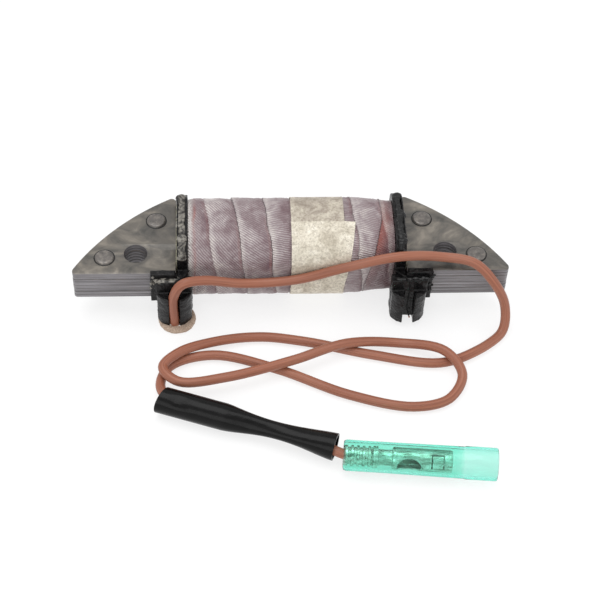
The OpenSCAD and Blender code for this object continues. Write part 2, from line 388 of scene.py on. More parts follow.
def make_camera():
    level = Vector((math.sin(CAMERA_TURN), -math.cos(CAMERA_TURN), 0))
    back = math.cos(CAMERA_UP) * level + math.sin(CAMERA_UP) * UP
    right = UP.cross(back).normalized()
    up = back.cross(right)
    c, s = math.cos(CAMERA_ROLL), math.sin(CAMERA_ROLL)
    data = bpy.data.cameras.new("camera")
    data.lens = 100
    data.sensor_width = 36
    data.clip_start = 0.01
    data.clip_end = 20
    cam = placed("camera", data)
    m = Matrix((c * right + s * up, c * up - s * right, back)).transposed().to_4x4()
    m.translation = (LOOK_AT + CAMERA_DISTANCE * back) * MM
    cam.matrix_world = m
    bpy.context.scene.camera = cam


make_camera()


# ---------------------------------------------------------------- materials
def srgb(r, g, b):
    out = []
    for c in (r, g, b):
        c /= 255
        out.append(c / 12.92 if c <= 0.04045 else ((c + 0.055) / 1.055) ** 2.4)
    return (*out, 1.0)


class Look:
    """A Principled material with short calls for the nodes it is built from."""

    def __init__(self, name, **values):
        self.mat = bpy.data.materials.new(name)
        self.mat.use_nodes = True
        self.tree = self.mat.node_tree
        self.bsdf = self.tree.nodes["Principled BSDF"]
        for key, value in values.items():
            self.bsdf.inputs[key.replace("_", " ")].default_value = value
        coord = self.node("ShaderNodeTexCoord")
        scale = self.node("ShaderNodeVectorMath", operation="SCALE")
        self.link(coord.outputs["Object"], scale.inputs[0])
        scale.inputs["Scale"].default_value = 1000
        self.mm = scale.outputs[0]
        self.uv = coord.outputs["UV"]

    def node(self, kind, **props):
        n = self.tree.nodes.new(kind)
        for k, v in props.items():
            setattr(n, k, v)
        return n

    def link(self, a, b):
        self.tree.links.new(a, b)

    def put(self, socket, value):
        if isinstance(value, (int, float, tuple)):
            socket.default_value = value
        else:
            self.link(value, socket)

    def stretch(self, vec, x=1, y=1, z=1):
        n = self.node("ShaderNodeVectorMath", operation="MULTIPLY")
        self.link(vec, n.inputs[0])
        n.inputs[1].default_value = (x, y, z)
        return n.outputs[0]

    def noise(self, scale, detail=3, rough=0.5, vec=None, warp=0.0):
        n = self.node("ShaderNodeTexNoise")
        self.link(self.mm if vec is None else vec, n.inputs["Vector"])
        n.inputs["Scale"].default_value = scale
        n.inputs["Detail"].default_value = detail
        n.inputs["Roughness"].default_value = rough
        n.inputs["Distortion"].default_value = warp
        return n.outputs["Fac"]

    def attr(self, name):
        n = self.node("ShaderNodeAttribute")
        n.attribute_name = name
        return n.outputs["Fac"]

    def math(self, op, a, b=0.0, clamp=False):
        n = self.node("ShaderNodeMath", operation=op, use_clamp=clamp)
        self.put(n.inputs[0], a)
        self.put(n.inputs[1], b)
        return n.outputs[0]

    def span(self, fac, low, high, to_low=0.0, to_high=1.0):
        n = self.node("ShaderNodeMapRange")
        self.link(fac, n.inputs["Value"])
        n.inputs["From Min"].default_value = low
        n.inputs["From Max"].default_value = high
        n.inputs["To Min"].default_value = to_low
        n.inputs["To Max"].default_value = to_high
        return n.outputs["Result"]

    def ramp(self, fac, stops):
        n = self.node("ShaderNodeValToRGB")
        self.link(fac, n.inputs[0])
        e = n.color_ramp.elements
        while len(e) < len(stops):
            e.new(0.5)
        for i, (pos, col) in enumerate(stops):
            e[i].position = pos
            e[i].color = col
        return n.outputs[0]

    def shades(self, fac, *stops):
        """Ramp through stops of (position, r, g, b), with sRGB colours of 0 to 255."""
        return self.ramp(fac, [(at, srgb(*rgb)) for at, *rgb in stops])

    def times(self, a, b, clamp=False):
        return self.math("MULTIPLY", a, b, clamp)

    def mix(self, fac, a, b):
        n = self.node("ShaderNodeMix", data_type="RGBA", blend_type="MIX")
        self.put(n.inputs[0], fac)
        self.put(n.inputs[6], a)
        self.put(n.inputs[7], b)
        return n.outputs[2]

    def colour(self, value):
        self.put(self.bsdf.inputs["Base Color"], value)

    def roughness(self, value):
        self.put(self.bsdf.inputs["Roughness"], value)

    def absorb(self, colour, density):
        n = self.node("ShaderNodeVolumeAbsorption")
        n.inputs["Color"].default_value = colour
        n.inputs["Density"].default_value = density
        self.link(n.outputs["Volume"], self.tree.nodes["Material Output"].inputs["Volume"])

    def bump(self, height, distance, strength=1.0):
        n = self.node("ShaderNodeBump")
        self.link(height, n.inputs["Height"])
        n.inputs["Distance"].default_value = distance * MM
        n.inputs["Strength"].default_value = strength
        if self.bsdf.inputs["Normal"].links:
            self.link(
                self.bsdf.inputs["Normal"].links[0].from_socket, n.inputs["Normal"]
            )
        self.link(n.outputs[0], self.bsdf.inputs["Normal"])


def look_core_face():
    k = Look("varnished_steel_face", Metallic=0.2, Coat_Weight=0.3, Coat_Roughness=0.16)
    flow = k.noise(0.16, 4, 0.55, k.stretch(k.mm, 1.0, 1.5, 1.0), 1.4)
    fine = k.noise(2.2, 5, 0.6)
    base = k.shades(flow, (0.3, 60, 58, 55), (0.44, 84, 80, 75), (0.57, 105, 99, 91), (0.74, 138, 130, 119))
    spots = k.span(k.noise(1.1, 2, 0.5), 0.68, 0.74)
    base = k.mix(k.times(spots, 0.35), base, srgb(66, 66, 62))
    k.colour(k.mix(k.span(fine, 0.3, 0.7, 0, 0.16), base, srgb(112, 110, 102)))
    k.roughness(k.span(flow, 0.3, 0.75, 0.52, 0.36))
    k.bump(flow, 0.35, 0.35)
    k.bump(fine, 0.02, 0.5)
    return k.mat


def look_core_edge():
    k = Look("stamped_steel_edge", Metallic=0.35, Coat_Weight=0.25, Coat_Roughness=0.3)
    long = k.noise(0.5, 5, 0.6, k.stretch(k.mm, 0.12, 0.12, 4.0))
    blotch = k.noise(0.25, 3)
    base = k.shades(long, (0.3, 84, 82, 84), (0.5, 118, 115, 118), (0.72, 150, 147, 150))
    k.colour(k.mix(k.span(blotch, 0.35, 0.7, 0, 0.35), base, srgb(118, 112, 112)))
    k.roughness(k.span(long, 0.3, 0.7, 0.5, 0.34))
    k.bump(long, 0.06, 0.7)
    return k.mat


def look_rivet():
    k = Look("rivet_steel", Metallic=0.4, Coat_Weight=0.4, Coat_Roughness=0.2)
    n = k.noise(0.9, 4, 0.6)
    k.colour(k.shades(n, (0.3, 76, 72, 69), (0.5, 100, 95, 91), (0.7, 128, 121, 114)))
    k.roughness(k.span(n, 0.3, 0.7, 0.4, 0.28))
    k.bump(n, 0.12, 0.5)
    return k.mat


def look_bobbin():
    k = Look("varnished_black_moulding", Specular_IOR_Level=0.12, Coat_Weight=0.16, Coat_Roughness=0.1)
    n = k.noise(0.9, 5, 0.6, None, 0.6)
    dust = k.span(k.noise(3.4, 4, 0.7), 0.6, 0.72)
    base = k.shades(n, (0.35, 10, 10, 11), (0.58, 22, 21, 22), (0.78, 52, 50, 50))
    k.colour(k.mix(k.times(dust, 0.22), base, srgb(140, 137, 132)))
    k.roughness(k.span(n, 0.35, 0.7, 0.18, 0.5))
    k.bump(k.noise(2.6, 5, 0.65), 0.12, 0.6)
    return k.mat


def look_resin(name, dark, light, share):
    """Resin that is dark up to a share of its noise, then turns to the light colour."""
    k = Look(name, Specular_IOR_Level=0.2, Coat_Weight=0.28, Coat_Roughness=0.08)
    middle = [int((a + b) / 2) for a, b in zip(dark, light)]
    n = k.noise(0.8, 5, 0.6, None, 0.9)
    k.colour(
        k.ramp(
            n,
            [
                (share, srgb(*dark)),
                (min(share + 0.08, 0.95), srgb(*middle)),
                (min(share + 0.2, 0.99), srgb(*light)),
            ],
        )
    )
    k.roughness(k.span(n, 0.3, 0.7, 0.12, 0.45))
    k.bump(k.noise(3.5, 4, 0.6), 0.15, 0.6)
    return k.mat


def look_paper():
    k = Look("insulating_paper", Roughness=0.6, Specular_IOR_Level=0.35)
    n = k.noise(2.5, 6, 0.7)
    k.colour(k.shades(n, (0.35, 96, 92, 78), (0.55, 150, 146, 126), (0.75, 188, 183, 162)))
    k.bump(n, 0.05, 0.6)
    return k.mat


def look_copper():
    k = Look("enamelled_copper", Metallic=0.75, Roughness=0.3)
    turns = k.node("ShaderNodeTexWave", bands_direction="X")
    k.link(k.mm, turns.inputs["Vector"])
    turns.inputs["Scale"].default_value = 1.1
    turns.inputs["Distortion"].default_value = 0.4
    k.colour(
        k.mix(turns.outputs["Fac"], srgb(120, 58, 34), srgb(206, 128, 84))
    )
    k.bump(turns.outputs["Fac"], 0.1, 0.8)
    return k.mat


def look_wrap():
    """Varnished cloth; the attributes ribs, tint, dark, red and glaze come with its mesh."""
    k = Look("varnished_cloth", Specular_IOR_Level=0.45, Coat_Weight=0.22, Coat_Roughness=0.3)
    phase = k.math("ADD", k.attr("ribs"), k.span(k.noise(0.5, 4), 0, 1, -4.0, 4.0))
    depth = k.span(k.math("SINE", phase), -1, 1)
    thread = k.noise(5.5, 4, 0.7)
    wear = k.span(k.noise(0.32, 4, 0.6, None, 0.5), 0.25, 0.75, 0.0, 0.62)
    # painted light: each turn's painted highlight and shade, added to a random tone, sets the shade of the
    # cloth
    base = k.shades(
        k.math("ADD", wear, k.times(k.attr("tone_and_painted_shading"), 0.38)),
        (0.12, 112, 88, 94),
        (0.34, 146, 130, 132),
        (0.56, 178, 167, 168),
        (0.8, 212, 204, 200),
    )
    # painted shade: the cloth is darkened in the grooves between its ribs
    groove = k.times(k.math("SUBTRACT", 1.0, depth), k.span(thread, 0.3, 0.7, 0.45, 0.95))
    dark = k.times(k.attr("dark"), 0.8, clamp=True)
    red = k.times(k.attr("red"), k.span(thread, 0.35, 0.65, 0.5, 1.0), clamp=True)
    patchy = k.span(k.noise(2.0, 4, 0.6), 0.35, 0.6, 0.2, 1.0)
    # pale band at the left end and painted highlight along each turn's leading edge, in patches
    pale_end_and_painted_highlight = k.times(k.attr("pale_end_and_painted_highlight"), patchy, clamp=True)
    # painted glints: small white highlights scattered over the cloth
    painted_glints = k.times(k.span(k.noise(4.4, 3, 0.6), 0.64, 0.74), 0.5)
    base = k.mix(groove, base, srgb(104, 80, 86))
    base = k.mix(dark, base, srgb(92, 58, 62))
    base = k.mix(red, base, srgb(150, 66, 46))
    base = k.mix(pale_end_and_painted_highlight, base, srgb(200, 194, 190))
    k.colour(k.mix(painted_glints, base, srgb(212, 205, 200)))
    k.roughness(k.span(thread, 0.3, 0.7, 0.62, 0.4))
    k.bump(depth, 0.14, 0.9)
    k.bump(thread, 0.07, 0.6)
    return k.mat


def look_tape(name, colours, mottle):
    k = Look(name, Roughness=0.55, Specular_IOR_Level=0.3)
    big = k.noise(0.28, 5, 0.65, None, 0.5)
    fine = k.noise(1.9, 6, 0.75)
    places = (0.32, 0.46, 0.58, 0.74)
    base = k.ramp(big, [(at, srgb(*c)) for at, c in zip(places, colours)])
    k.colour(k.mix(k.span(fine, 0.54, 0.38, 0, mottle), base, srgb(132, 120, 106)))
    k.bump(fine, 0.08, 0.7)
    return k.mat


def look_potting():
    k = Look("grainy_potting", Roughness=0.62, Specular_IOR_Level=0.3)
    grain = k.noise(3.2, 5, 0.75)
    base = k.shades(grain, (0.32, 136, 116, 101), (0.5, 176, 155, 137), (0.7, 206, 187, 169))
    k.colour(base)
    k.bump(grain, 0.12, 0.8)
    return k.mat


def look_solder():
    k = Look("solder", Metallic=0.9, Roughness=0.22)
    n = k.noise(2.0, 3)
    k.colour(k.shades(n, (0.3, 170, 168, 166), (0.7, 226, 225, 222)))
    k.bump(n, 0.1, 0.4)
    return k.mat


def look_lead():
    k = Look("brown_wire_cover", Specular_IOR_Level=0.4)
    along = k.noise(1.0, 4, 0.6, k.stretch(k.uv, 22.0, 0.05, 1.0))
    fine = k.noise(3.5, 4, 0.6)
    base = k.shades(along, (0.3, 126, 76, 57), (0.5, 146, 90, 69), (0.72, 164, 105, 81))
    dull = k.span(k.noise(0.12, 3), 0.35, 0.7)
    base = k.mix(k.times(dull, 0.25), base, srgb(160, 111, 91))
    k.colour(base)
    k.roughness(k.span(fine, 0.3, 0.7, 0.36, 0.48))
    k.bump(along, 0.03, 0.4)
    k.bump(fine, 0.015, 0.5)
    return k.mat


def look_strands():
    k = Look("tinned_strands", Metallic=0.85, Roughness=0.3)
    n = k.noise(2.5, 3)
    k.colour(k.shades(n, (0.3, 150, 96, 62), (0.7, 214, 158, 112)))
    k.bump(n, 0.03, 0.4)
    return k.mat


def look_black_sleeve():
    k = Look("black_sleeve_vinyl", Specular_IOR_Level=0.14, Coat_Weight=0.08, Coat_Roughness=0.05)
    n = k.noise(0.5, 4, 0.6, k.stretch(k.mm, 0.6, 1.5, 1.5))
    fine = k.noise(4.0, 3, 0.6)
    k.colour(k.shades(n, (0.35, 4, 4, 4), (0.7, 12, 11, 12)))
    k.roughness(k.span(n, 0.3, 0.7, 0.2, 0.32))
    k.bump(n, 0.25, 0.3)
    k.bump(fine, 0.012, 0.5)
    return k.mat


def look_green_sleeve():
    k = Look("clear_green_vinyl", Transmission_Weight=1.0, IOR=1.16, Coat_Weight=0.25)
    n = k.noise(0.4, 4, 0.6, k.stretch(k.mm, 0.5, 1.4, 1.4))
    body = k.ramp(n, [(0.35, (0.66, 0.95, 0.86, 1)), (0.7, (0.8, 0.965, 0.9, 1))])
    k.colour(k.mix(k.attr("skirt"), body, (0.93, 0.985, 0.95, 1)))
    k.roughness(k.span(n, 0.3, 0.7, 0.06, 0.14))
    k.bump(n, 0.12, 0.3)
    k.absorb((0.25, 0.955, 0.87, 1), 560)
    return k.mat


def look_terminal():
    k = Look("tinned_brass", Metallic=0.7)
    n = k.noise(0.9, 4, 0.6, k.stretch(k.mm, 0.4, 1.6, 1.6))
    k.colour(k.shades(n, (0.3, 132, 128, 118), (0.5, 202, 200, 192), (0.7, 246, 246, 242)))
    k.roughness(k.span(n, 0.3, 0.7, 0.34, 0.2))
    k.bump(n, 0.05, 0.4)
    return k.mat


def look_floor():
    k = Look("pale_floor", Roughness=0.7, Specular_IOR_Level=0.1)
    k.bsdf.inputs["Emission Color"].default_value = (1, 1, 1, 1)
    k.bsdf.inputs["Emission Strength"].default_value = 0.74
    n = k.noise(0.004, 2)
    k.colour(k.ramp(n, [(0.3, (0.25, 0.25, 0.255, 1)), (0.7, (0.27, 0.27, 0.27, 1))]))
    return k.mat


FACE, EDGE = look_core_face(), look_core_edge()
RIVET, BOBBIN, PAPER = look_rivet(), look_bobbin(), look_paper()
BLACK_RESIN = look_resin("black_resin", (14, 14, 15), (78, 76, 73), 0.62)
GREY_RESIN = look_resin("grey_resin", (46, 44, 42), (134, 130, 122), 0.4)
COPPER, WRAP = look_copper(), look_wrap()
TAPE = look_tape(
    "cream_paper_tape",
    ((178, 169, 152), (206, 198, 181), (226, 219, 203), (240, 235, 222)),
    0.55,
)
TAPE_UNDER = look_tape(
    "soaked_paper_tape",
    ((146, 136, 124), (174, 164, 151), (198, 190, 174), (216, 209, 194)),
    0.65,
)
POTTING, SOLDER, LEAD = look_potting(), look_solder(), look_lead()
STRANDS, BLACK, GREEN, BRASS = (
    look_strands(),
    look_black_sleeve(),
    look_green_sleeve(),
    look_terminal(),
)


# ---------------------------------------------------------------- lead and its sleeve
LEAD_PATH = [Vector((q.x, q.y, max(q.z, LAY))) for q in curve_through(ROUTE, 8)]
lead = tube("lead_wire", LEAD_PATH, LEAD_R, 28)
settle(lead, COIL, "lead_cover", ["lead"], LEAD, angle=60)

SLEEVE_A, SLEEVE_B = Vector((-29.1, -35.1, 3.1)), Vector((8.0, -48.2, 3.1))
SLEEVE_R, SLEEVE_WALL, SLEEVE_LENGTH = 3.02, 0.4, 39
WAIST_AT, WAIST_DEPTH = 0.64, 1.1


def make_black_sleeve():
    """Soft sleeve: a hollow loft with a waist, twisted folds and a slanted mouth."""
    rows, cols = 120, 72
    axis = (SLEEVE_B - SLEEVE_A).normalized()
    side = UP.cross(axis).normalized()
    verts, uvs = [], []
    for skin in (0.0, SLEEVE_WALL):
        order = range(rows + 1) if skin == 0 else range(rows, -1, -1)
        for i in order:
            t = i / rows
            reach = 0.28 if t < WAIST_AT else 0.36
            waist = max(0.0, 1 - ((t - WAIST_AT) / reach) ** 2) ** 1.5
            for k in range(cols):
                a = 2 * math.pi * k / cols
                fold = 0.16 * math.cos(3 * a + 5.5 * t) + 0.1 * math.cos(2 * a - 7 * t + 1)
                dent = 0.35 * hump(t, 0.11, 0.05) * hump(a, 1.9, 0.55)
                r = SLEEVE_R - WAIST_DEPTH * waist - skin + waist * fold
                r -= dent * (1 if skin == 0 else 0.9)
                y, z = r * math.cos(a), r * math.sin(a)
                slant = 0.8 * math.cos(a) * max(0.0, 1 - t / 0.12)
                p = SLEEVE_A + (SLEEVE_B - SLEEVE_A) * t + axis * slant + side * y + UP * z
                verts.append(p)
                uvs.append((k / cols, t * SLEEVE_LENGTH))
    n = 2 * (rows + 1)
    faces = []
    for i in range(n):
        for k in range(cols):
            k2 = (k + 1) % cols
            a, b = i * cols, ((i + 1) % n) * cols
            faces.append((a + k, b + k, b + k2, a + k2))
    return mesh_object("black_sleeve", verts, faces, uvs)


black_sleeve = make_black_sleeve()
settle(black_sleeve, COIL, "black_sleeve", ["lead_sleeve"], BLACK, angle=70)


# the connector's pieces are measured in mm along its axis from CONN_AT
SKIRT_FROM = 25.6


def make_green_sleeve():
    """Clear sleeve that steps out to a wider skirt beyond the socket's mouth."""
    r, bore, step, end = 3.35, 2.85, 25.7, 32.7
    outer = [(2.78, 0.0), (3.0, 0.0), (3.2, 0.22), (r, 0.62)]
    outer += [(r + 0.04 * k / 12, 0.62 + (step - 0.62) * k / 12) for k in range(1, 13)]
    outer += [(r + 0.15, step + 0.25), (r + 0.15, end - 0.2), (r + 0.05, end)]
    inner = [(2.95, end), (bore, end - 0.1), (bore, step), (2.75, step - 0.3), (2.75, 0.1)]

    def shape(radius, z, a):
        return radius + 0.05 * math.sin(2 * a + 0.12 * z) * min(1, z / 6)

    return lathe("green_sleeve", outer + inner, CONN, 96, shape)


green_sleeve = make_green_sleeve()
settle(green_sleeve, COVER, "green_sleeve", ["connector_sleeve"], GREEN, angle=50)
along_sleeve = CONN.inverted()
skirt = green_sleeve.data.attributes.new("skirt", "FLOAT", "POINT")
for v in green_sleeve.data.vertices:
    skirt.data[v.index].value = 1.0 if (along_sleeve @ v.co).z > SKIRT_FROM * MM else 0.0


def box(name, low, high):
    (x0, y0, z0), (x1, y1, z1) = low, high
    verts = [(x, y, z) for x in (x0, x1) for y in (y0, y1) for z in (z0, z1)]
    faces = [(0, 1, 3, 2), (4, 6, 7, 5), (0, 4, 5, 1), (2, 3, 7, 6), (0, 2, 6, 4), (1, 5, 7, 3)]
    return mesh_object(name, verts, faces)


def carve(obj, cutters):
    """Cuts the solids in cutters out of the object and removes them."""
    for cutter in cutters:
        clean(cutter)
        m = obj.modifiers.new("carve", "BOOLEAN")
        m.operation = "DIFFERENCE"
        m.solver = "EXACT"
        m.object = cutter
    obj = baked(obj)
    for cutter in cutters:
        bpy.data.objects.remove(cutter)
    return obj


def make_terminal():
    """Rolled socket: a lathe dented by its crimps, then cut open at throat, tongue and seam."""
    crimp_end, neck, barrel, mouth, bore_from = 6.2, (7.4, 10.35), 10.7, 23.08, 11.1
    outer = [(0.0, 0.35)]
    for i in range(5):  # ridges of the crimp on the insulation
        z = 0.35 + 1.2 * i
        outer += [(1.85, z), (2.22, z + 0.12), (2.24, z + 0.6), (1.85, z + 0.72)]
    outer += [(2.0, 6.15), (2.33, 6.3), (2.35, 7.3), (1.8, 7.45), (1.72, 8.0)]
    outer += [(1.72, 9.8), (1.82, 10.3), (2.3, 10.45), (2.4, barrel)]
    outer += [(2.4, barrel + 12.2 * k / 30) for k in range(1, 31)]
    inner = [(2.33, mouth), (2.08, mouth), (2.0, mouth - 0.18), (2.0, bore_from + 0.1)]
    inner += [(1.9, bore_from), (0.0, bore_from)]

    def shape(r, z, a):
        seam = 0.3 * hump(a, 1.1, 0.2)
        if z < crimp_end and r > 1.5:
            r -= seam
        elif neck[0] < z < neck[1] and r > 1.5:
            r = (r - seam) * (1 + 0.06 * math.cos(2 * a))
        return r

    obj = lathe("bullet_socket", outer + inner, CONN, 96, shape)
    throat = tube("throat", [(5.2, -3, 14), (5.2, 3, 14)], 4.1, 96)
    gap = box("seam_gap", (0.15, -0.1, bore_from), (3.15, 0.1, mouth + 1.02))
    # the slot runs round three sides of the tongue; its cutters reach out from x_in
    x_out, x_in, low, high, side, edge, width = -3, -1.3, 18.6, 21.4, -1.5, 1.55, 0.3
    slots = [
        box("slot_rear", (x_out, side, low), (x_in, edge, low + width)),
        box("slot_front", (x_out, side, high - width), (x_in, edge, high)),
        box("slot_side", (x_out, edge - width, low), (x_in, edge, high)),
    ]
    for turn, cutters in ((270, [throat]), (45, slots), (0, [gap])):
        for cutter in cutters:
            cutter.data.transform(CONN @ Matrix.Rotation(math.radians(turn), 4, "Z"))
    return carve(obj, [throat] + slots + [gap])


terminal = make_terminal()
settle(terminal, COIL, "terminal_brass", ["bullet_terminal"], BRASS, angle=28)


def make_strands():
    """Seven twisted strands at each end of the lead."""
    parts = []
    ends = ((4.2, CONN @ shift(0, 0, 6.1)), (0.7, shift(-26.5, POST_Y, 0.5)))
    for n, (length, place) in enumerate(ends):
        for s in range(7):
            r = 0.0 if s == 6 else 0.4
            path = []
            for z in [length * k / 12 for k in range(13)]:
                a = 2 * math.pi * s / 6 + 0.35 * z
                path.append((r * math.cos(a), r * math.sin(a), z))
            part = tube(f"strand_{n}_{s}", path, 0.19, 10)
            part.data.transform(place)
            parts.append(part)
    return join("wire_strands", parts)


strands = make_strands()
settle(strands, COIL, "copper", ["lead_conductor"], STRANDS, angle=60)


# ---------------------------------------------------------------- core
# radius of the shoes' inner tips, then heights of the stack's two faces and one sheet's thickness
TIP_R = 1.0
STACK_LOW, STACK_TOP, SHEET = 6, 13.9, 0.95


def core_loops():
    """Outline of one lamination and its six holes."""
    arc_top = math.asin((SHOE_IN + TIP_R) / (POLE_R - TIP_R))
    arc_low = math.asin(SHOE_OUT / POLE_R)
    arc = [
        (POLE_R * math.sin(a), POLE_Y + POLE_R * math.cos(a))
        for a in [arc_low + (arc_top - arc_low) * k / 40 for k in range(41)]
    ]
    tip_y = POLE_Y + math.sqrt((POLE_R - TIP_R) ** 2 - (SHOE_IN + TIP_R) ** 2)
    top_angle = math.atan2(math.cos(arc_top), math.sin(arc_top))
    tip = []
    for k in range(1, 9):
        a = top_angle + (math.pi - top_angle) * k / 8
        tip.append((SHOE_IN + TIP_R + TIP_R * math.cos(a), tip_y + TIP_R * math.sin(a)))
    corners = [(SHOE_IN, NECK_FRONT), (SHOE_IN, CORE_FRONT), (SHOE_OUT, CORE_FRONT)]
    right = rounded(
        corners + arc + tip + [(SHOE_IN, NECK_BACK)],
        [0.3, 0.4, 0.8, 0.9] + [0] * (len(arc) - 1 + len(tip)) + [0.3],
    )
    left = [(-x, y) for x, y in reversed(right)]
    holes = [circle(s * BOLT_AT[0], BOLT_AT[1], BOLT_R) for s in (-1, 1)]
    holes += [circle(x, y, 1.7, 24) for x, y in RIVETS]
    return [right + left] + holes


def make_core():
    loops = core_loops()
    rnd = random.Random(7)
    for i in range(8):
        z = STACK_LOW + i + 0.47
        jog = shift(rnd.uniform(-0.05, 0.05), rnd.uniform(-0.05, 0.05), z)
        obj = plate(f"lamination_sheet_{i + 1}", loops, SHEET, 0.07, jog)
        settle(obj, COIL, "core_steel", [f"lamination_{i + 1}"], FACE, EDGE, angle=30)
        for p in obj.data.polygons:
            p.material_index = 0 if abs(p.normal.z) > 0.8 else 1


make_core()


def make_rivets():
    """Four rivets with a domed head above the stack and a foot flush with its underside."""
    head = [(0.0, 14.4), (1.2, 14.41), (1.75, 14.38), (2.0, 14.3), (2.15, 14.12), (2.18, 13.93)]
    shank = [(1.6, STACK_TOP), (1.6, 6.95)]
    foot = [(2.04, 6.92), (2.04, 6.04), (1.95, STACK_LOW), (0.0, STACK_LOW)]
    profile = head + shank + foot
    parts = []
    for n, (x, y) in enumerate(RIVETS):
        parts.append(lathe(f"rivet_{n}", profile, shift(x, y, 0), 48))
    obj = join("core_rivet_heads", parts)
    rough(obj, 0.04, 1.4, 3.0)
    return obj


settle(make_rivets(), COIL, "rivet_steel", ["core_rivets"], RIVET, angle=40)


def make_rivet_shadow_rings():
    """Thin dark ring round each rivet head: a painted shadow where the head meets the stack."""
    ring = [(2.1, STACK_TOP), (2.42, STACK_TOP), (2.4, 13.99), (2.1, 14.03)]
    parts = []
    for n, (x, y) in enumerate(RIVETS):
        parts.append(lathe(f"seat_{n}", ring, shift(x, y, 0), 48))
    return join("rivet_shadow_rings", parts)


# the dark rings paint the shadow round the rivet heads, in black resin
settle(make_rivet_shadow_rings(), COIL, "rivet_steel", [], BLACK_RESIN, angle=40)


# ---------------------------------------------------------------- bobbin
def make_bobbin(name, node, size, seed):
    """Half of the bobbin from its CAD shape, with softened edges and a rough skin."""
    obj = voxel(cad_copy(name, node), size, 3)
    rough(obj, 0.1, 1.7, seed, 0.05)
    settle(obj, COIL, "bobbin_plastic", [node], BOBBIN, angle=0)


make_bobbin("bobbin_front_half", "bobbin_front", 0.15, 2.0)
make_bobbin("bobbin_rear_half", "bobbin_rear", 0.2, 5.0)


def make_paper(name, sign):
    """Thin insulating sheet with a hole for the core, between flange and pole shoe."""
    outer_half, hole_half = (9.3, 5.5), (4.65, 4.15)
    outer, hole = (
        [(-y, -z), (y, -z), (y, z), (-y, z)] for y, z in (outer_half, hole_half)
    )
    place = (
        shift(sign * 25.85, COIL_Y, COIL_Z)
        @ Matrix.Rotation(math.radians(90), 4, "Z")
        @ Matrix.Rotation(math.radians(90), 4, "X")
    )
    return plate(name, [rounded(outer, [0.5] * 4), hole], 0.28, 0.05, place)


settle(make_paper("paper_sheet_left", -1), COIL, "paper", ["paper_left"], PAPER)
settle(make_paper("paper_sheet_right", 1), COIL, "paper", ["paper_right"], PAPER)


# ---------------------------------------------------------------- winding
def around(share, half):
    """Point and normal (y, z) on a rounded square about the winding axis.

    share runs 0..1 from the middle of the underside, up the front and over the top.
    """
    r = half - WRAP_FLAT
    flat, turn = 2 * WRAP_FLAT, math.pi * r / 2
    total = 4 * (flat + turn)
    s = (share % 1.0) * total + WRAP_FLAT
    corner, rest = divmod(s, flat + turn)
    # local: a straight run then a corner, turned by quarter turns
    if rest < flat:
        p, n = Vector((-half, rest - WRAP_FLAT)), Vector((-1, 0))
    else:
        a = (rest - flat) / r
        n = Vector((-math.cos(a), math.sin(a)))
        p = Vector((-WRAP_FLAT, WRAP_FLAT)) + n * r
    quarter = (corner - 1) * math.pi / 2
    cos, sin = math.cos(-quarter), math.sin(-quarter)

    def spin(v):
        return Vector((v.x * cos - v.y * sin, v.x * sin + v.y * cos))

    return spin(p), spin(n)


WRAP_END = 23.2
PITCH, FIRST_EDGE = 6.6, -18.8
GIRTH = 4 * (2 * WRAP_FLAT + math.pi * (WRAP_HALF - WRAP_FLAT) / 2)
RIB_PITCH = 0.52
# lean of the ribs in radians, turn by turn, and beyond the last turn's edge
RIB_LEAN, LEAN_BEYOND = [0.85, 0.85, 0.6, 0.2, 0.1, 0.15, 0.25, 0.5], 0.55


def wrap_turn(x, share):
    """Where a point lies in the helix of cloth: turn number and share of its width."""
    wander = 0.9 * noise_at(x * 0.12, share * 9, 3)
    u = (x - FIRST_EDGE + PITCH * (share - 0.5) + wander) / PITCH
    return math.floor(u), u - math.floor(u)


def last_edge(share):
    """Edge of the last turn, which leans back over the right-hand end."""
    return 16.6 + 4.1 * clamp((share - 0.2) / 0.3)


def wrap_height(x, share, turn, u, beyond):
    """Height of the cloth over the plain winding; beyond is the way past the last edge."""
    h = 0.1 * (1 - u) - 0.12 + 0.2 * noise_at(x * 0.35, share * 20, turn)
    h -= 0.12 * hump(u, 0.98, 0.05)
    h += 0.06 * noise_at(x * 2.4, share * 95, 4)
    if beyond > 0:
        h -= 0.16
    h -= 0.75 * max(0.0, (x - 13.5) / 9.7) ** 1.3
    h -= 0.3 * max(0.0, (-21.9 - x) / 1.3)
    h = max(h, -0.92)
    if -0.4 < x < 12.3:  # held down by the tape
        h = min(h, -0.2)
    return h


